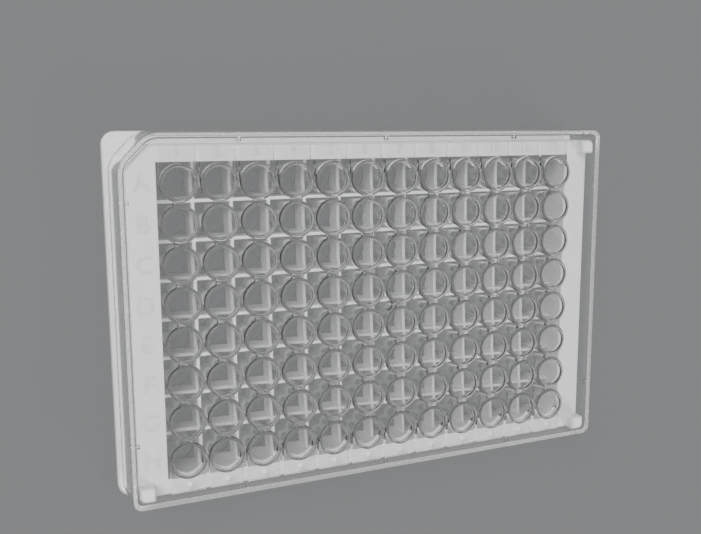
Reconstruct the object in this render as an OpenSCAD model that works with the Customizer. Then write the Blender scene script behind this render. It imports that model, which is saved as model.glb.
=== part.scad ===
// 96-well strip plate: an opaque frame, twelve clear 8-well strips and a clear lid.
// Row A lies towards +Y and column 1 towards -X. Millimetres, base rim on z = 0.

/* [Frame] */
// Length of the base flange
plate_l = 127.76; // [126:0.01:132]
// Width of the base flange
plate_w = 85.48; // [84:0.01:90]
// Height of the plate without its lid, up to the lid rests
plate_h = 14.35; // [14.2:0.05:16]
// Height of the base flange
flange_h = 2.5; // [2:0.1:3]
// Corner radius of the base flange
flange_r = 3.2; // [2.2:0.1:4.5]
// Width of the flange step at the short sides
step_x = 3; // [2.7:0.05:3.3]
// Width of the flange step at the long sides
step_y = 2.9; // [2.7:0.05:3.2]
// Distance from the flange's edge in to the raised ledge on its top
ledge_in = 1.9; // [1.7:0.1:2.1]
// Height of that ledge
ledge_h = 0.3; // [0.1:0.05:0.35]
// Thickness of the base rim that the plate stands on
rim_t = 1.4; // [1:0.1:2]
// Height of the deck that carries the strips
deck_z = 11.5; // [10:0.1:12]
// Thickness of the deck
deck_t = 1.5; // [1:0.1:2.5]
// Thickness of the outer wall
wall_t = 1.3; // [0.8:0.1:1.4]
// Thickness of the wall around the strip opening
inner_wall_t = 1.2; // [0.8:0.1:1.4]
// Corner radius of the upper walls
body_r = 1.2; // [0.6:0.1:2]
// Radius of the inside corners
inside_r = 0.4; // [0.3:0.1:0.6]
// Leg of the 45 degree cut at corner A1
a1_cut = 5.8; // [4.5:0.1:6.5]
// Bevel on the outer upper edges
edge_bevel = 0.4; // [0.2:0.05:0.6]
// Length of a lid rest, along the long side
rest_l = 3.6; // [3:0.1:5]
// Width of a lid rest, along the short side
rest_w = 3.5; // [3:0.1:5]
// Bevel around the top of a lid rest
rest_bevel = 0.4; // [0.2:0.05:0.6]
// Radius of the small lug on the flange at the column 1 side
lug_r = 0.9; // [0.5:0.1:1.2]
// Height of that lug
lug_h = 0.3; // [0.2:0.05:0.4]
// Place of that lug along the side, from the middle
lug_y = 2.8; // [-20:0.1:20]

/* [Grid] */
// Spacing of the wells
pitch = 9; // [8.95:0.01:9.15]
// Height of the underside of the grid bars
grid_z = 1.6; // [1:0.1:3.5]
// Height of the grid bars
grid_h = 4.7; // [2:0.1:5]
// Thickness of a grid bar
grid_t = 0.8; // [0.5:0.05:0.9]
// Gap between the grid bars and a well, just under its ring
grid_gap = 0.15; // [0.1:0.01:0.3]

/* [Strips] */
// Radius of the well floor inside
floor_r = 3.15; // [2.8:0.05:3.25]
// Radius of the well bore just below its mouth
mouth_r = 3.45; // [3.3:0.05:3.5]
// Thickness of the well floor
floor_t = 1; // [0.8:0.1:1.2]
// Thickness of the well wall at the floor
well_wall_t = 0.5; // [0.4:0.05:0.6]
// Height of the well floor inside, above the surface under the plate
floor_z = 3; // [2.6:0.1:4]
// Radius of the turn from the well floor to its wall
floor_turn = 0.5; // [0.3:0.05:0.8]
// Radius of the raised ring around the mouth
ring_r = 4.25; // [4.1:0.01:4.35]
// Height of that ring
ring_h = 1.1; // [0.8:0.1:1.6]
// Bevel on the outer edge of that ring
ring_bevel = 0.2; // [0.1:0.05:0.3]
// Radius of the flare at the mouth
flare_r = 3.8; // [3.6:0.05:3.95]
// Distance from the ring up to the lid
ring_drop = 0.35; // [0.2:0.05:0.8]
// Width of the web between two wells of a strip
web_w = 2.6; // [2:0.1:4]
// Thickness of that web
web_t = 1.2; // [0.8:0.1:1.6]
// Width of the tab at each end of a strip
tab_w = 8.1; // [6:0.1:8.2]
// Thickness of a tab
tab_t = 1.2; // [0.9:0.1:1.4]
// Corner radius of a tab
tab_r = 0.5; // [0.3:0.1:1]
// Distance from the edge of the deck in to a tab's end
tab_set = 0.4; // [0:0.05:0.8]
// Radius of the gate mark on the tab below row H
pip_r = 0.7; // [0.4:0.1:1]
// Height of that gate mark
pip_h = 0.3; // [0.1:0.1:0.5]

/* [Lid] */
// Thickness of the lid's top
lid_t = 1.2; // [0.8:0.1:1.8]
// Thickness of the lid's skirt
skirt_t = 1.1; // [0.8:0.05:1.2]
// Gap between the skirt and the upper walls at the short sides
lid_gap_x = 0.6; // [0.4:0.05:0.8]
// Gap between the skirt and the upper walls at the long sides, with the lid in the middle
lid_gap_y = 0.9; // [0.75:0.05:1]
// Gap between the skirt and the upper walls across the cut corner, with the lid in the middle
lid_gap_cut = 1; // [0.6:0.1:1.4]
// How far the loose lid lies towards row A
lid_shift = 0.6; // [0:0.05:0.65]
// How much the skirt spreads from its top to its lower edge
lid_draft = 0.3; // [0:0.05:0.4]
// Distance from the flange up to the skirt
skirt_lift = 0.5; // [0.4:0.1:2]
// Corner radius of the lid
lid_r = 2.2; // [1.5:0.1:3]
// Bevel around the lid's top
lid_bevel = 0.5; // [0.2:0.1:0.8]
// Thickness of a locating rib inside the skirt
rib_t = 0.8; // [0.5:0.1:1]
// How far a rib stands in from the skirt
rib_out = 1; // [0.6:0.1:1.2]
// Height of a rib
rib_h = 1; // [0.6:0.1:1.2]
// Wells between two ribs of a long side
rib_cols = 4; // [2:1:5]
// Wells from the middle to a rib of a short side
rib_rows = 3; // [1:1:3]
// Radius of the round gate recess in the middle of the top
gate_r = 1.25; // [0.8:0.05:1.6]
// Depth of that recess
gate_d = 0.3; // [0.2:0.05:0.5]

/* [Hidden] */
n_cols = 12;
n_rows = 8;
// overshoot of a cutting solid past the face that it opens
over = 1;
// how deep a joined solid reaches into its neighbour
bite = 0.3;
// thickness of the slabs that a tapered solid is stretched over
skin = 0.01;
// straight pieces in the quarter circle between a well's floor and its wall
turn_steps = 4;

body_l = plate_l - 2 * step_x;
body_w = plate_w - 2 * step_y;
grid_l = n_cols * pitch;
grid_w = n_rows * pitch;
recess_z = flange_h - rim_t;

ring_z = plate_h - ring_drop;
well_r = pitch / 2 - grid_t / 2 - grid_gap;
foot_r = floor_r + well_wall_t;
tab_start = row_y(1);
tab_end = body_w / 2 - tab_set;
// the gate mark lies midway between the row H well's wall and its tab's end
pip_y = (row_y(n_rows) - well_r - tab_end) / 2;

lid_l = body_l + 2 * (lid_gap_x + skirt_t);
lid_w = body_w + 2 * (lid_gap_y + skirt_t);
lid_z = flange_h + skirt_lift;
lid_top = plate_h + lid_t;
lid_cut = a1_cut + lid_gap_x + lid_gap_y + 2 * skirt_t - (lid_gap_cut + skirt_t) * sqrt(2);

function col_x(col) = (col - (n_cols + 1) / 2) * pitch;
function row_y(row) = ((n_rows + 1) / 2 - row) * pitch;

// Rounded outline about the middle, with a 45 degree cut at corner A1 where cut is over 0
module outline(l, w, r, cut) {
    difference() {
        union() {
            square([l - 2 * r, w], center = true);
            square([l, w - 2 * r], center = true);
            for (sx = [-1, 1], sy = [-1, 1])
                translate([sx * (l / 2 - r), sy * (w / 2 - r)]) circle(r, $fn = 32);
        }
        if (cut > 0)
            polygon([[-l / 2 - over, w / 2 - cut - over],
                     [-l / 2 + cut + over, w / 2 + over],
                     [-l / 2 - over, w / 2 + over]]);
    }
}

// Thin slab of an outline at height z
module slab(l, w, r, cut, z) {
    translate([0, 0, z]) linear_extrude(skin) outline(l, w, r, cut);
}

// Upright block on an outline, with its upper edge bevelled
module bevelled_block(l, w, r, cut, h) {
    linear_extrude(h - edge_bevel) outline(l, w, r, cut);
    hull() {
        slab(l, w, r, cut, h - edge_bevel - skin);
        slab(l - 2 * edge_bevel, w - 2 * edge_bevel, r, cut, h - skin);
    }
}

// Bars between the wells, in both directions
module grid() {
    for (i = [1:n_cols - 1])
        translate([i * pitch - grid_l / 2 - grid_t / 2, -grid_w / 2 - bite, grid_z])
            cube([grid_t, grid_w + 2 * bite, grid_h]);
    for (j = [1:n_rows - 1])
        translate([-grid_l / 2 - bite, j * pitch - grid_w / 2 - grid_t / 2, grid_z])
            cube([grid_l + 2 * bite, grid_t, grid_h]);
}

// Outline of one lid rest in its corner of the upper walls, inset from its sides
module rest_outline(sx, sy, inset) {
    intersection() {
        outline(body_l - 2 * inset, body_w - 2 * inset, body_r, 0);
        translate([sx * (body_l - rest_l) / 2, sy * (body_w - rest_w) / 2])
            outline(rest_l - 2 * inset, rest_w - 2 * inset, inside_r, 0);
    }
}

// Post that carries the lid, flush with the upper walls; its top is bevelled
module lid_rest(sx, sy) {
    foot_z = deck_z - edge_bevel - bite;
    bevel_z = plate_h - rest_bevel;
    translate([0, 0, foot_z]) linear_extrude(bevel_z - foot_z) rest_outline(sx, sy, 0);
    hull() {
        translate([0, 0, bevel_z - skin]) linear_extrude(skin) rest_outline(sx, sy, 0);
        translate([0, 0, plate_h - skin]) linear_extrude(skin) rest_outline(sx, sy, rest_bevel);
    }
}

// The space under the deck, between the outer wall and the wall around the opening
module under_channel() {
    translate([0, 0, recess_z - skin])
        linear_extrude(deck_z - deck_t - recess_z + skin)
            difference() {
                outline(body_l - 2 * wall_t, body_w - 2 * wall_t, inside_r, a1_cut);
                square([grid_l + 2 * inner_wall_t, grid_w + 2 * inner_wall_t], center = true);
            }
}

module frame() {
    color("whitesmoke") {
        difference() {
            union() {
                bevelled_block(plate_l, plate_w, flange_r, 0, flange_h);
                linear_extrude(flange_h + ledge_h)
                    outline(plate_l - 2 * ledge_in, plate_w - 2 * ledge_in, flange_r - ledge_in, 0);
                bevelled_block(body_l, body_w, body_r, a1_cut, deck_z);
                for (corner = [[-1, -1], [1, -1], [1, 1]]) lid_rest(corner[0], corner[1]);
                translate([-(plate_l - step_x) / 2 + lug_r / 2, lug_y, flange_h - bite])
                    cylinder(r = lug_r, h = lug_h + bite, $fn = 32);
            }
            translate([0, 0, -over])
                linear_extrude(deck_z + 2 * over) square([grid_l, grid_w], center = true);
            translate([0, 0, -over])
                linear_extrude(recess_z + over)
                    outline(plate_l - 2 * rim_t, plate_w - 2 * rim_t, flange_r - rim_t, 0);
            under_channel();
        }
        grid();
    }
}

// Solid of one well before its bore is cut: a slightly tapered cup with a raised ring on top
module well_body() {
    rotate_extrude($fn = 64)
        polygon([[0, floor_z - floor_t],
                 [foot_r - floor_turn, floor_z - floor_t],
                 [foot_r, floor_z - floor_t + floor_turn],
                 [well_r, ring_z - ring_h - (ring_r - well_r)],
                 [ring_r, ring_z - ring_h],
                 [ring_r, ring_z - ring_bevel],
                 [ring_r - ring_bevel, ring_z],
                 [0, ring_z]]);
}

// The bore of one well: flat floor, turned edge, slight taper and a flare at the mouth
module well_bore() {
    flare_z = ring_z - (flare_r - mouth_r);
    turn = [for (i = [0:turn_steps]) let (a = 90 * i / turn_steps)
        [floor_r - floor_turn * (1 - sin(a)), floor_z + floor_turn * (1 - cos(a))]];
    rotate_extrude($fn = 64)
        polygon(concat([[0, floor_z]], turn,
                       [[mouth_r, flare_z], [flare_r, ring_z],
                        [flare_r, ring_z + over], [0, ring_z + over]]));
}

// Flat tab past the end well, which lies on the deck; side is 1 at row A and -1 at row H
module tab(side) {
    translate([0, side * (tab_start + tab_end) / 2, deck_z])
        linear_extrude(tab_t)
            outline(tab_w, tab_end - tab_start, tab_r, 0);
}

module strip(col) {
    color([0.80, 0.88, 0.92, 0.45])
        translate([col_x(col), 0, 0])
            difference() {
                union() {
                    for (row = [1:n_rows]) translate([0, row_y(row), 0]) well_body();
                    for (row = [1:n_rows - 1])
                        translate([0, row_y(row) - pitch / 2, ring_z - ring_h])
                            cube([web_w, web_w, web_t], center = true);
                    for (side = [-1, 1]) tab(side);
                    translate([0, pip_y, deck_z + tab_t - bite])
                        cylinder(r = pip_r, h = pip_h + bite, $fn = 32);
                }
                for (row = [1:n_rows]) translate([0, row_y(row), 0]) well_bore();
            }
}

// Tapered block of the lid: inset from the outer faces, from height z0 to z1
module lid_block(inset, z0, z1, bevel) {
    spread = 2 * lid_draft;
    l = lid_l - 2 * inset;
    w = lid_w - 2 * inset;
    cut = lid_cut - inset * (2 - sqrt(2));
    r = max(lid_r - inset, inside_r);
    hull() {
        slab(l + spread, w + spread, r, cut, z0);
        slab(l, w, r, cut, z1 - bevel - skin);
        slab(l - 2 * bevel, w - 2 * bevel, r, cut, z1 - skin);
    }
}

// One locating rib; y = 0 is the skirt's inner face, and the rib stands in towards -Y
module lid_rib() {
    translate([-rib_t / 2, -rib_out, plate_h - rib_h])
        cube([rib_t, rib_out + bite, rib_h + bite]);
}

// Ribs just under the lid's top: three along each long side, two along each short side
module lid_ribs() {
    for (side = [0, 180]) rotate(side) {
        for (i = [-1:1])
            translate([i * rib_cols * pitch, lid_w / 2 - skirt_t, 0]) lid_rib();
        rotate(90) for (j = [-1, 1])
            translate([j * rib_rows * pitch, lid_l / 2 - skirt_t, 0]) lid_rib();
    }
}

module lid() {
    color([0.85, 0.90, 0.95, 0.35])
        translate([0, lid_shift, 0]) {
            difference() {
                lid_block(0, lid_z, lid_top, lid_bevel);
                lid_block(skirt_t, lid_z - over, plate_h, 0);
                translate([0, 0, lid_top - gate_d]) cylinder(r = gate_r, h = gate_d + over, $fn = 48);
            }
            lid_ribs();
        }
}

frame();
lid();
strip(1);  // strip_01
strip(2);  // strip_02
strip(3);  // strip_03
strip(4);  // strip_04
strip(5);  // strip_05
strip(6);  // strip_06
strip(7);  // strip_07
strip(8);  // strip_08
strip(9);  // strip_09
strip(10);  // strip_10
strip(11);  // strip_11
strip(12);  // strip_12
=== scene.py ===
"""A 96-well strip plate: white frame, twelve clear strips of eight wells, and a clear lid."""

import math

import bmesh
import bpy
from mathutils import Matrix, Vector
from mathutils.bvhtree import BVHTree


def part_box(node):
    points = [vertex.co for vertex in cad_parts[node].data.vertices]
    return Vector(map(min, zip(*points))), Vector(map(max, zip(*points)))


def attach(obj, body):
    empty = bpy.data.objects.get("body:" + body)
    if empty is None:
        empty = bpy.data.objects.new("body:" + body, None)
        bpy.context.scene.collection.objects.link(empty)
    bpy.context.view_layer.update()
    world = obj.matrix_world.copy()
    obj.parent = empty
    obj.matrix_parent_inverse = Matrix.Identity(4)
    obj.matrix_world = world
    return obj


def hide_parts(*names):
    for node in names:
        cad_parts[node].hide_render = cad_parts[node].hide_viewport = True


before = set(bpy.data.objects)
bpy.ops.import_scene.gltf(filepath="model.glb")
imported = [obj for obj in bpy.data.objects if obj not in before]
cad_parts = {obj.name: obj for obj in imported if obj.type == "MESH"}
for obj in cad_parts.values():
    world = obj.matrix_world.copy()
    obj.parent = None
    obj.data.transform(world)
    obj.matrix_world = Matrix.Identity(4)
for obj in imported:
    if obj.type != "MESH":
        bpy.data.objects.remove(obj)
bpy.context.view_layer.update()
MM = 0.001


# ---------------------------------------------------------------- frame
# The frame is one injection moulding in opaque white polystyrene: a base flange, upper walls,
# a deck that carries the strips, an egg-crate grid and three posts that carry the lid.
# The mould eases every edge a little, which gives the thin highlights along them.
MOULDED_EASE = 0.12 * MM
WHITE_STYRENE = "#F4F4F4"
SPARK_TEXTURE_GRAIN = 0.25 * MM
SAME_POINT = 0.0005 * MM


def linear(hex_colour):
    """Linear RGBA of an sRGB hex colour."""
    parts = [int(hex_colour[i : i + 2], 16) / 255 for i in (1, 3, 5)]
    return [c / 12.92 if c <= 0.04045 else ((c + 0.055) / 1.055) ** 2.4 for c in parts] + [1.0]


def add_node(material, kind, settings=None, **links):
    """A node of that kind, with its sockets or properties set and its inputs linked by name."""
    tree = material.node_tree
    made = tree.nodes.new("ShaderNode" + kind)
    for key, value in (settings or {}).items():
        if key in made.inputs:
            made.inputs[key].default_value = value
        else:
            setattr(made, key, value)
    for key, source in links.items():
        tree.links.new(source, made.inputs[key.replace("_", " ")])
    return made


def empty_material(name):
    material = bpy.data.materials.new(name)
    material.use_nodes = True
    material.node_tree.nodes.clear()
    return material


# Moulded white polystyrene: opaque, satin, with the faint grain of a spark-eroded mould.
# A little light scatters under its skin, which softens its shadows.
white_styrene = empty_material("moulded_white_polystyrene")
place = add_node(white_styrene, "TexCoord").outputs["Object"]
grain = add_node(
    white_styrene, "TexNoise", {"Scale": 1 / SPARK_TEXTURE_GRAIN, "Detail": 2.0}, Vector=place
)
grain_relief = add_node(
    white_styrene, "Bump", {"Strength": 0.12, "Distance": 0.01 * MM}, Height=grain.outputs[0]
)
flow = add_node(white_styrene, "TexNoise", {"Scale": 90.0, "Detail": 3.0}, Vector=place)
satin = add_node(
    white_styrene,
    "MapRange",
    {"To Min": 0.36, "To Max": 0.46},
    Value=flow.outputs[0],
)
white_skin = add_node(
    white_styrene,
    "BsdfPrincipled",
    {
        "Base Color": linear(WHITE_STYRENE),
        "IOR": 1.59,
        "Subsurface Weight": 0.15,
        "Subsurface Radius": (1.0, 1.0, 1.0),
        "Subsurface Scale": 0.8 * MM,
    },
    Roughness=satin.outputs[0],
    Normal=grain_relief.outputs[0],
)
add_node(white_styrene, "OutputMaterial", Surface=white_skin.outputs[0])


def shade_smooth(mesh, sharp_degrees):
    """Smooth faces, with the edges sharper than that angle left crisp."""
    mesh.polygons.foreach_set("use_smooth", [True] * len(mesh.polygons))
    mesh.set_sharp_from_angle(angle=math.radians(sharp_degrees))


def add_piece(name, bm, material, slot, sharp_degrees=35, *nodes):
    """Turns a bmesh into a piece of the plate that stands for the CAD nodes named."""
    mesh = bpy.data.meshes.new(name)
    bm.to_mesh(mesh)
    bm.free()
    shade_smooth(mesh, sharp_degrees)
    mesh.materials.append(material)
    piece = bpy.data.objects.new(name, mesh)
    bpy.context.scene.collection.objects.link(piece)
    # Flats stay flat right up to their rounded edges, so that nothing seen through them bends.
    true_flats = piece.modifiers.new("true_flats", "WEIGHTED_NORMAL")
    true_flats.mode = "FACE_AREA"
    true_flats.weight = 50
    true_flats.keep_sharp = True
    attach(piece, "root")
    if nodes:
        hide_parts(*nodes)
    return piece


moulding = bmesh.new()
moulding.from_mesh(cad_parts["frame"].data)
bmesh.ops.remove_doubles(moulding, verts=moulding.verts, dist=SAME_POINT)
bmesh.ops.dissolve_limit(
    moulding, angle_limit=math.radians(1), verts=moulding.verts, edges=moulding.edges
)
crisp = [
    edge
    for edge in moulding.edges
    if len(edge.link_faces) == 2 and edge.calc_face_angle(0) > math.radians(30)
]
bmesh.ops.bevel(
    moulding,
    geom=crisp,
    offset=MOULDED_EASE,
    affect="EDGES",
    segments=2,
    profile=0.5,
    material=-1,
    clamp_overlap=True,
)
add_piece("frame_moulding", moulding, white_styrene, "frame_plastic", 35, "frame")


# ---------------------------------------------------- row letters, column numbers
# The row letters stand slightly proud of the deck beside column 1, and the column numbers lie
# under the strip tabs beside row A. They are cut into the mould, so they are the same plastic
# as the frame and show only by their small shadows.
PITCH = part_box("strip_02")[0].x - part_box("strip_01")[0].x
COLUMNS = 12
ROWS = "ABCDEFGH"
LETTER_HEIGHT = 4.1 * MM
NUMBER_HEIGHT = 2.3 * MM
RELIEF = 0.14 * MM
CAP_SHARE = 0.73
THINNER_STROKE = 0.006


def column_x(column):
    return (column - (COLUMNS + 1) / 2) * PITCH


def row_y(row):
    return ((len(ROWS) + 1) / 2 - row) * PITCH


def height_of(node, x, y):
    """Height of a CAD node's upper surface over the point x, y."""
    solid = bmesh.new()
    solid.from_mesh(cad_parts[node].data)
    top = BVHTree.FromBMesh(solid).ray_cast(Vector((x, y, 1)), Vector((0, 0, -1)))[0]
    solid.free()
    return top.z


def raised_marks(name, words):
    """One piece with each word standing proud of the deck; words are (text, height, x, y)."""
    marks = bmesh.new()
    for text, height, x, y in words:
        curve = bpy.data.curves.new(name, "FONT")
        curve.body = text
        curve.size = height / CAP_SHARE
        curve.align_x = "CENTER"
        curve.align_y = "CENTER"
        curve.offset = -THINNER_STROKE * height
        curve.extrude = RELIEF / 2
        curve.bevel_depth = RELIEF / 4
        curve.bevel_resolution = 1
        curve.resolution_u = 4
        lettering = bpy.data.objects.new(name, curve)
        bpy.context.scene.collection.objects.link(lettering)
        solid = bpy.data.meshes.new_from_object(
            lettering.evaluated_get(bpy.context.evaluated_depsgraph_get())
        )
        solid.transform(Matrix.Translation((x, y, deck_z + RELIEF / 4)))
        marks.from_mesh(solid)
        bpy.data.objects.remove(lettering)
        bpy.data.curves.remove(curve)
        bpy.data.meshes.remove(solid)
    bmesh.ops.remove_doubles(marks, verts=marks.verts, dist=SAME_POINT)
    bmesh.ops.recalc_face_normals(marks, faces=marks.faces)
    return add_piece(name, marks, white_styrene, "frame_plastic", 35)


letters_x = -57.35 * MM
numbers_y = 38.1 * MM
deck_z = height_of("frame", letters_x, 0)
raised_marks(
    "row_letters",
    [(letter, LETTER_HEIGHT, letters_x, row_y(i + 1)) for i, letter in enumerate(ROWS)],
)
raised_marks(
    "column_numbers",
    [(str(c), NUMBER_HEIGHT, column_x(c), numbers_y) for c in range(1, COLUMNS + 1)],
)


# ---------------------------------------------------------------- strips
# Each strip is one moulding in clear polystyrene: eight flat-bottomed wells with a raised ring
# around each mouth, short webs between the wells, and a flat tab at each end on the deck.
# The twelve are the same, so one is shaped and the others are copies in their columns.
strip_low, strip_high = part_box("strip_01")
FLOOR_THICKNESS = 1.0 * MM
FLOOR_RADIUS = 3.15 * MM
FLOOR_TURN = 0.5 * MM
MOUTH_RADIUS = 3.45 * MM
WELL_RADIUS = 3.95 * MM
WELL_WALL = 0.5 * MM
RING_RADIUS = 4.25 * MM
RING_HEIGHT = 1.1 * MM
FLARE = 0.35 * MM
RING_ROUND = 0.22 * MM
WEB = 2.6 * MM
TAB_WIDTH = 8.1 * MM
TAB_THICKNESS = 1.2 * MM
TAB_EASE = 0.12 * MM
PIP_RADIUS = 0.7 * MM
PIP_HEIGHT = 0.3 * MM
WELL_STEPS = 64
ring_z = strip_high.z


def arc(cx, cz, radius, start, end, steps):
    """Points of an arc in the XZ plane, from start to end in degrees."""
    turns = [math.radians(start + (end - start) * i / steps) for i in range(steps + 1)]
    return [(cx + radius * math.cos(a), cz + radius * math.sin(a)) for a in turns]


def turned(bm, profile, y):
    """Spins a profile of (radius, height) points about the vertical through (0, y)."""
    corners = [bm.verts.new((r, y, z)) for r, z in profile]
    line = [bm.edges.new(pair) for pair in zip(corners, corners[1:])]
    bmesh.ops.spin(
        bm,
        geom=corners + line,
        cent=(0, y, 0),
        axis=(0, 0, 1),
        angle=2 * math.pi,
        steps=WELL_STEPS,
        use_merge=True,
    )


def block(bm, low, high, ease=0.0):
    """A box from its low to its high corner, with its edges rounded by ease."""
    low, high = Vector(low), Vector(high)
    place = Matrix.Translation((low + high) / 2) @ Matrix.Diagonal(high - low).to_4x4()
    made = bmesh.ops.create_cube(bm, size=1, matrix=place)["verts"]
    if ease:
        edges = list({edge for vert in made for edge in vert.link_edges})
        bmesh.ops.bevel(
            bm,
            geom=edges,
            offset=ease,
            affect="EDGES",
            segments=2,
            profile=0.5,
            material=-1,
        )


def closed(bm):
    """Merges doubled points and turns the faces outwards."""
    bmesh.ops.remove_doubles(bm, verts=bm.verts, dist=SAME_POINT)
    bmesh.ops.recalc_face_normals(bm, faces=bm.faces)
    return bm


def combined(bm, other, operation):
    """The exact union or difference of two closed bmeshes."""
    objects = []
    for part in (bm, other):
        mesh = bpy.data.meshes.new("working")
        part.to_mesh(mesh)
        part.free()
        objects.append(bpy.data.objects.new("working", mesh))
        bpy.context.scene.collection.objects.link(objects[-1])
    joint = objects[0].modifiers.new("joint", "BOOLEAN")
    joint.solver = "EXACT"
    joint.operation = operation
    joint.object = objects[1]
    whole = bpy.data.meshes.new_from_object(
        objects[0].evaluated_get(bpy.context.evaluated_depsgraph_get())
    )
    result = bmesh.new()
    result.from_mesh(whole)
    for made in objects:
        bpy.data.objects.remove(made)
    bmesh.ops.remove_doubles(result, verts=result.verts, dist=SAME_POINT)
    return result


outside = bmesh.new()
bores = bmesh.new()
under_ring = ring_z - RING_HEIGHT
step_down = RING_RADIUS - WELL_RADIUS
foot_radius = FLOOR_RADIUS + WELL_WALL
floor_z = strip_low.z + FLOOR_THICKNESS
for row in range(1, len(ROWS) + 1):
    turned(
        outside,
        [(0, strip_low.z)]
        + arc(foot_radius - FLOOR_TURN, strip_low.z + FLOOR_TURN, FLOOR_TURN, -90, 0, 5)
        + [(WELL_RADIUS, under_ring - step_down), (RING_RADIUS, under_ring)]
        + arc(RING_RADIUS - RING_ROUND, ring_z - RING_ROUND, RING_ROUND, 0, 90, 4)
        + [(0, ring_z)],
        row_y(row),
    )
    turned(
        bores,
        [(0, floor_z)]
        + arc(FLOOR_RADIUS - FLOOR_TURN, floor_z + FLOOR_TURN, FLOOR_TURN, -90, 0, 6)
        + [(MOUTH_RADIUS, ring_z - FLARE)]
        + arc(MOUTH_RADIUS + FLARE, ring_z - FLARE, FLARE, 180, 90, 5)
        + [(MOUTH_RADIUS + FLARE, ring_z + RING_HEIGHT), (0, ring_z + RING_HEIGHT)],
        row_y(row),
    )
flats = bmesh.new()
for row in range(1, len(ROWS)):
    web_y = row_y(row) - PITCH / 2
    block(
        flats,
        (-WEB / 2, web_y - WEB / 2, under_ring - TAB_THICKNESS / 2),
        (WEB / 2, web_y + WEB / 2, under_ring + TAB_THICKNESS / 2),
    )
for side, low_y, high_y in (
    ("row A", row_y(1), strip_high.y),
    ("row H", strip_low.y, row_y(len(ROWS))),
):
    block(
        flats,
        (-TAB_WIDTH / 2, low_y, deck_z),
        (TAB_WIDTH / 2, high_y, deck_z + TAB_THICKNESS),
        TAB_EASE,
    )
strip_shape = combined(closed(outside), closed(flats), "UNION")
pip_y = (row_y(len(ROWS)) - WELL_RADIUS + strip_low.y) / 2
pip = bmesh.new()
turned(
    pip,
    [(0, deck_z + TAB_THICKNESS / 2), (PIP_RADIUS, deck_z + TAB_THICKNESS / 2)]
    + arc(
        PIP_RADIUS - RING_ROUND,
        deck_z + TAB_THICKNESS + PIP_HEIGHT - RING_ROUND,
        RING_ROUND,
        0,
        90,
        3,
    )
    + [(0, deck_z + TAB_THICKNESS + PIP_HEIGHT)],
    pip_y,
)
strip_shape = combined(strip_shape, closed(pip), "UNION")
strip_shape = combined(strip_shape, closed(bores), "DIFFERENCE")

# Clear general-purpose polystyrene: colourless, glossy from a polished mould, and with a
# higher index than glass, which gives the bright rims and the dark turns at the well floors.
# Lamps reach what lies under it, dimmed a little at each surface. The mould's polish varies a
# little over a few millimetres.
PASSED_PER_SURFACE = "#FEFEFE"
POLISH_PATCH = 6 * MM
clear_styrene = empty_material("clear_polystyrene")
polish = add_node(
    clear_styrene,
    "TexNoise",
    {"Scale": 1 / POLISH_PATCH, "Detail": 2.0},
    Vector=add_node(clear_styrene, "TexCoord").outputs["Object"],
)
polish_range = add_node(
    clear_styrene, "MapRange", {"To Min": 0.02, "To Max": 0.045}, Value=polish.outputs[0]
)
clear_skin = add_node(
    clear_styrene,
    "BsdfPrincipled",
    {"Base Color": linear("#FEFEFE"), "IOR": 1.59, "Transmission Weight": 1.0},
    Roughness=polish_range.outputs[0],
)
lamps_through = add_node(
    clear_styrene, "BsdfTransparent", {"Color": linear(PASSED_PER_SURFACE)}
)
path = add_node(clear_styrene, "LightPath")
let_through = add_node(clear_styrene, "Math", {"operation": "MAXIMUM"})
clear_styrene.node_tree.links.new(path.outputs["Is Shadow Ray"], let_through.inputs[0])
clear_styrene.node_tree.links.new(path.outputs["Is Diffuse Ray"], let_through.inputs[1])
chosen = add_node(clear_styrene, "MixShader", Fac=let_through.outputs[0])
clear_styrene.node_tree.links.new(clear_skin.outputs[0], chosen.inputs[1])
clear_styrene.node_tree.links.new(lamps_through.outputs[0], chosen.inputs[2])
add_node(clear_styrene, "OutputMaterial", Surface=chosen.outputs[0])

# The gate mark is where the moulding was broken off its runner: a small disc, frosted by the
# broken grain.
BROKEN_GRAIN = 0.2 * MM
gate_frost = empty_material("frosted_gate_polystyrene")
broken = add_node(
    gate_frost,
    "TexNoise",
    {"Scale": 1 / BROKEN_GRAIN, "Detail": 2.0},
    Vector=add_node(gate_frost, "TexCoord").outputs["Object"],
)
broken_relief = add_node(
    gate_frost, "Bump", {"Strength": 0.3, "Distance": 0.02 * MM}, Height=broken.outputs[0]
)
frost_skin = add_node(
    gate_frost,
    "BsdfPrincipled",
    {"Base Color": linear("#FBFBFB"), "IOR": 1.59, "Roughness": 0.55},
    Normal=broken_relief.outputs[0],
)
add_node(gate_frost, "OutputMaterial", Surface=frost_skin.outputs[0])
for face in strip_shape.faces:
    middle = face.calc_center_median()
    from_pip = math.hypot(middle.x, middle.y - pip_y)
    if from_pip < PIP_RADIUS and middle.z > deck_z + TAB_THICKNESS + PIP_HEIGHT / 2:
        face.material_index = 1

for column in range(1, COLUMNS + 1):
    here = strip_shape.copy()
    bmesh.ops.translate(here, vec=(column_x(column), 0, 0), verts=here.verts)
    node = f"strip_{column:02d}"
    strip = add_piece(f"clear_{node}", here, clear_styrene, "strip_clear", 30, node)
    strip.data.materials.append(gate_frost)
strip_shape.free()


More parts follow.
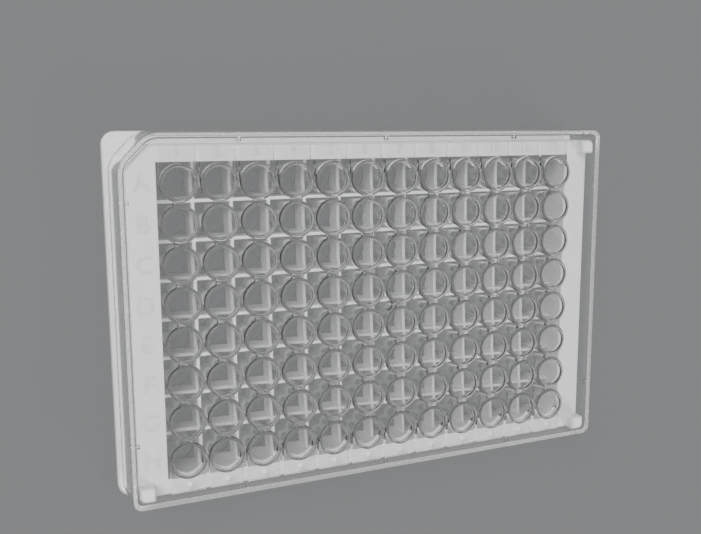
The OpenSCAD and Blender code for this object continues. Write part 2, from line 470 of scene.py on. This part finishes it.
# ---------------------------------------------------------------- lid
# The lid is one thin moulding in clear polystyrene that rests loosely on the frame's posts.
# Its skirt leaves the mould easily because it spreads towards its lower edge, and small ribs
# under the top keep it in the middle. A round gate mark shows where the plastic came in.
lid_low, lid_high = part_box("lid")
LID_THICKNESS = 1.2 * MM
SKIRT_THICKNESS = 1.1 * MM
LID_DRAFT = 0.3 * MM
LID_CORNER = 2.2 * MM
LID_CUT = 6.53 * MM
LID_ROUND = 0.5 * MM
INSIDE_ROUND = 0.35 * MM
RIM_ROUND = 0.15 * MM
RIB = 0.8 * MM
RIB_OUT = 1.0 * MM
RIB_HEIGHT = 1.0 * MM
RIB_EASE = 0.1 * MM
GATE_RADIUS = 1.25 * MM
GATE_DEPTH = 0.3 * MM


def upright_edges(bm):
    return [e for e in bm.edges if abs(e.verts[0].co.z - e.verts[1].co.z) > 5 * MM]


def level_edges(bm, z):
    return [e for e in bm.edges if all(abs(v.co.z - z) < 0.01 * MM for v in e.verts)]


def rounded(bm, edges, radius, steps):
    bmesh.ops.bevel(
        bm,
        geom=edges,
        offset=radius,
        affect="EDGES",
        segments=steps,
        profile=0.5,
        material=-1,
        clamp_overlap=True,
    )


middle = (lid_low + lid_high) / 2
half = (lid_high - lid_low) / 2 - Vector((LID_DRAFT, LID_DRAFT, 0))
cover = bmesh.new()
block(cover, middle - half, middle + half)
at_a1 = [
    e
    for e in upright_edges(cover)
    if e.verts[0].co.x < middle.x and e.verts[0].co.y > middle.y
]
rounded(cover, at_a1, LID_CUT, 1)
rounded(cover, upright_edges(cover), LID_CORNER, 6)
underside = min(cover.faces, key=lambda face: face.calc_center_median().z)
bmesh.ops.inset_region(cover, faces=[underside], thickness=SKIRT_THICKNESS, use_even_offset=True)
rim = [v for v in cover.verts if v.co.z < middle.z]
bmesh.ops.scale(
    cover,
    vec=(1 + LID_DRAFT / half.x, 1 + LID_DRAFT / half.y, 1),
    space=Matrix.Translation(-middle),
    verts=rim,
)
lifted = bmesh.ops.extrude_face_region(cover, geom=[underside])["geom"]
bmesh.ops.delete(cover, geom=[underside], context="FACES_ONLY")
ceiling = [v for v in lifted if isinstance(v, bmesh.types.BMVert)]
bmesh.ops.scale(
    cover,
    vec=(1 - LID_DRAFT / half.x, 1 - LID_DRAFT / half.y, 1),
    space=Matrix.Translation(-middle),
    verts=ceiling,
)
ceiling_z = lid_high.z - LID_THICKNESS
bmesh.ops.translate(cover, vec=(0, 0, ceiling_z - lid_low.z), verts=ceiling)
rounded(cover, level_edges(cover, lid_high.z), LID_ROUND, 4)
rounded(cover, level_edges(cover, ceiling_z), INSIDE_ROUND, 3)
rounded(cover, level_edges(cover, lid_low.z), RIM_ROUND, 2)

ribs = bmesh.new()
inner = half - Vector((SKIRT_THICKNESS, SKIRT_THICKNESS, 0))
rib_low, rib_high = ceiling_z - RIB_HEIGHT, ceiling_z + LID_THICKNESS / 4


def rib_ends(centre, side, reach):
    """Where a rib starts inside the skirt and where it ends within it, lowest first."""
    return sorted((centre + side * (reach - RIB_OUT), centre + side * (reach + RIB_OUT / 3)))


for side in (-1, 1):
    y_low, y_high = rib_ends(middle.y, side, inner.y)
    x_low, x_high = rib_ends(middle.x, side, inner.x)
    for step in (-4, 0, 4):
        x = middle.x + step * PITCH
        block(ribs, (x - RIB / 2, y_low, rib_low), (x + RIB / 2, y_high, rib_high), RIB_EASE)
    for step in (-3, 3):
        y = middle.y + step * PITCH
        block(ribs, (x_low, y - RIB / 2, rib_low), (x_high, y + RIB / 2, rib_high), RIB_EASE)
gate = bmesh.new()
bmesh.ops.create_cone(
    gate,
    cap_ends=True,
    segments=48,
    radius1=GATE_RADIUS - 0.1 * MM,
    radius2=GATE_RADIUS + 0.1 * MM,
    depth=2 * GATE_DEPTH,
    matrix=Matrix.Translation((middle.x, middle.y, lid_high.z)),
)
lid_shape = combined(closed(cover), closed(ribs), "UNION")
lid_shape = combined(lid_shape, closed(gate), "DIFFERENCE")
add_piece("clear_lid", lid_shape, clear_styrene, "lid_clear", 30, "lid")


# ---------------------------------------------------------------- floor, lamps, camera
# A plain pale floor under the plate, wide enough to fill the view from every side.
FLOOR_GREY = "#949596"
FLOOR_GLOW = 0.85
GLOW_SHARE = 0.6


def background_rays(material):
    """1 for a ray that meets the background straight, mirrored or through clear plastic."""
    rays = add_node(material, "LightPath")
    seen = rays.outputs["Is Camera Ray"]
    for kind in ("Is Glossy Ray", "Is Transmission Ray"):
        either = add_node(material, "Math", {"operation": "MAXIMUM"})
        material.node_tree.links.new(seen, either.inputs[0])
        material.node_tree.links.new(rays.outputs[kind], either.inputs[1])
        seen = either.outputs[0]
    return seen


pale_floor = empty_material("pale_floor")
# Seen straight, mirrored or through the clear plastic it glows a little of its own grey, so
# that the wells show a floor nearer to the one around the plate.
floor_skin = add_node(
    pale_floor, "BsdfPrincipled", {"Base Color": linear(FLOOR_GREY), "Roughness": 0.8}
)
floor_glow = add_node(pale_floor, "Emission", {"Color": linear(FLOOR_GREY), "Strength": FLOOR_GLOW})
seen_share = add_node(pale_floor, "Math", {"operation": "MULTIPLY"})
seen_share.inputs[1].default_value = GLOW_SHARE
pale_floor.node_tree.links.new(background_rays(pale_floor), seen_share.inputs[0])
floor_mix = add_node(pale_floor, "MixShader", Fac=seen_share.outputs[0])
pale_floor.node_tree.links.new(floor_skin.outputs[0], floor_mix.inputs[1])
pale_floor.node_tree.links.new(floor_glow.outputs[0], floor_mix.inputs[2])
add_node(pale_floor, "OutputMaterial", Surface=floor_mix.outputs[0])
ground = bmesh.new()
bmesh.ops.create_grid(ground, x_segments=1, y_segments=1, size=4)
floor_mesh = bpy.data.meshes.new("floor")
ground.to_mesh(floor_mesh)
ground.free()
floor_mesh.materials.append(pale_floor)
floor = bpy.data.objects.new("floor", floor_mesh)
bpy.context.scene.collection.objects.link(floor)


def soft_lamp(name, place, aim, width, depth, watts):
    """A soft lamp at place that faces aim, kept out of the lid's mirror and its clear edges."""
    light = bpy.data.lights.new(name, "AREA")
    light.shape = "RECTANGLE"
    light.size = width
    light.size_y = depth
    light.energy = watts
    lamp = bpy.data.objects.new(name, light)
    lamp.location = place
    lamp.rotation_euler = (Vector(aim) - Vector(place)).to_track_quat("-Z", "Y").to_euler()
    lamp.visible_glossy = False
    lamp.visible_transmission = False
    bpy.context.scene.collection.objects.link(lamp)


soft_lamp("key", (-0.62, 0.56, 0.62), (0, 0, 0), 0.7, 0.5, 3.4)
soft_lamp("fill", (0.72, -0.80, 0.42), (0, 0, 0), 0.34, 0.34, 2.8)

# The room lights the plate from overhead more than from the sides, as under a softbox
# ceiling. Seen straight, mirrored or through the clear plastic it has the floor's grey.
ROOM_LOW = "#4A4A4A"
ROOM_HIGH = "#F6F6F6"
ROOM_LIGHT = 0.6
BACKDROP_LIGHT = 0.8
world = bpy.data.worlds.new("studio")
world.use_nodes = True
world.node_tree.nodes.clear()
towards = add_node(world, "TexCoord").outputs["Generated"]
height = add_node(world, "SeparateXYZ", Vector=towards).outputs["Z"]
overhead = add_node(world, "ValToRGB", Fac=height)
overhead.color_ramp.elements[0].position = 0.1
overhead.color_ramp.elements[0].color = linear(ROOM_LOW)
overhead.color_ramp.elements[1].position = 0.6
overhead.color_ramp.elements[1].color = linear(ROOM_HIGH)
sky = add_node(world, "Background", {"Strength": ROOM_LIGHT}, Color=overhead.outputs[0])
backdrop = add_node(world, "Background", {"Color": linear(FLOOR_GREY), "Strength": BACKDROP_LIGHT})
room = add_node(world, "MixShader", Fac=background_rays(world))
world.node_tree.links.new(sky.outputs[0], room.inputs[1])
world.node_tree.links.new(backdrop.outputs[0], room.inputs[2])
add_node(world, "OutputWorld", Surface=room.outputs[0])
bpy.context.scene.world = world

# The plate has many clear layers, so light needs more steps through it than usual.
cycles = bpy.context.scene.cycles
cycles.max_bounces = 24
cycles.diffuse_bounces = 8
cycles.transmission_bounces = 24
cycles.glossy_bounces = 12
cycles.transparent_max_bounces = 48
cycles.caustics_reflective = False
cycles.caustics_refractive = False

# The camera stands over column 1 at row A's end, and looks down across the plate.
camera_data = bpy.data.cameras.new("camera")
camera_data.lens = 43.4
camera_data.sensor_width = 36
camera = bpy.data.objects.new("camera", camera_data)
camera.location = Vector((-88.3, 42.3, 196.9)) * MM
camera.rotation_euler = [math.radians(a) for a in (-8.97, -23.44, -0.32)]
bpy.context.scene.collection.objects.link(camera)
bpy.context.scene.camera = camera
bpy.context.scene.view_settings.view_transform = "Standard"
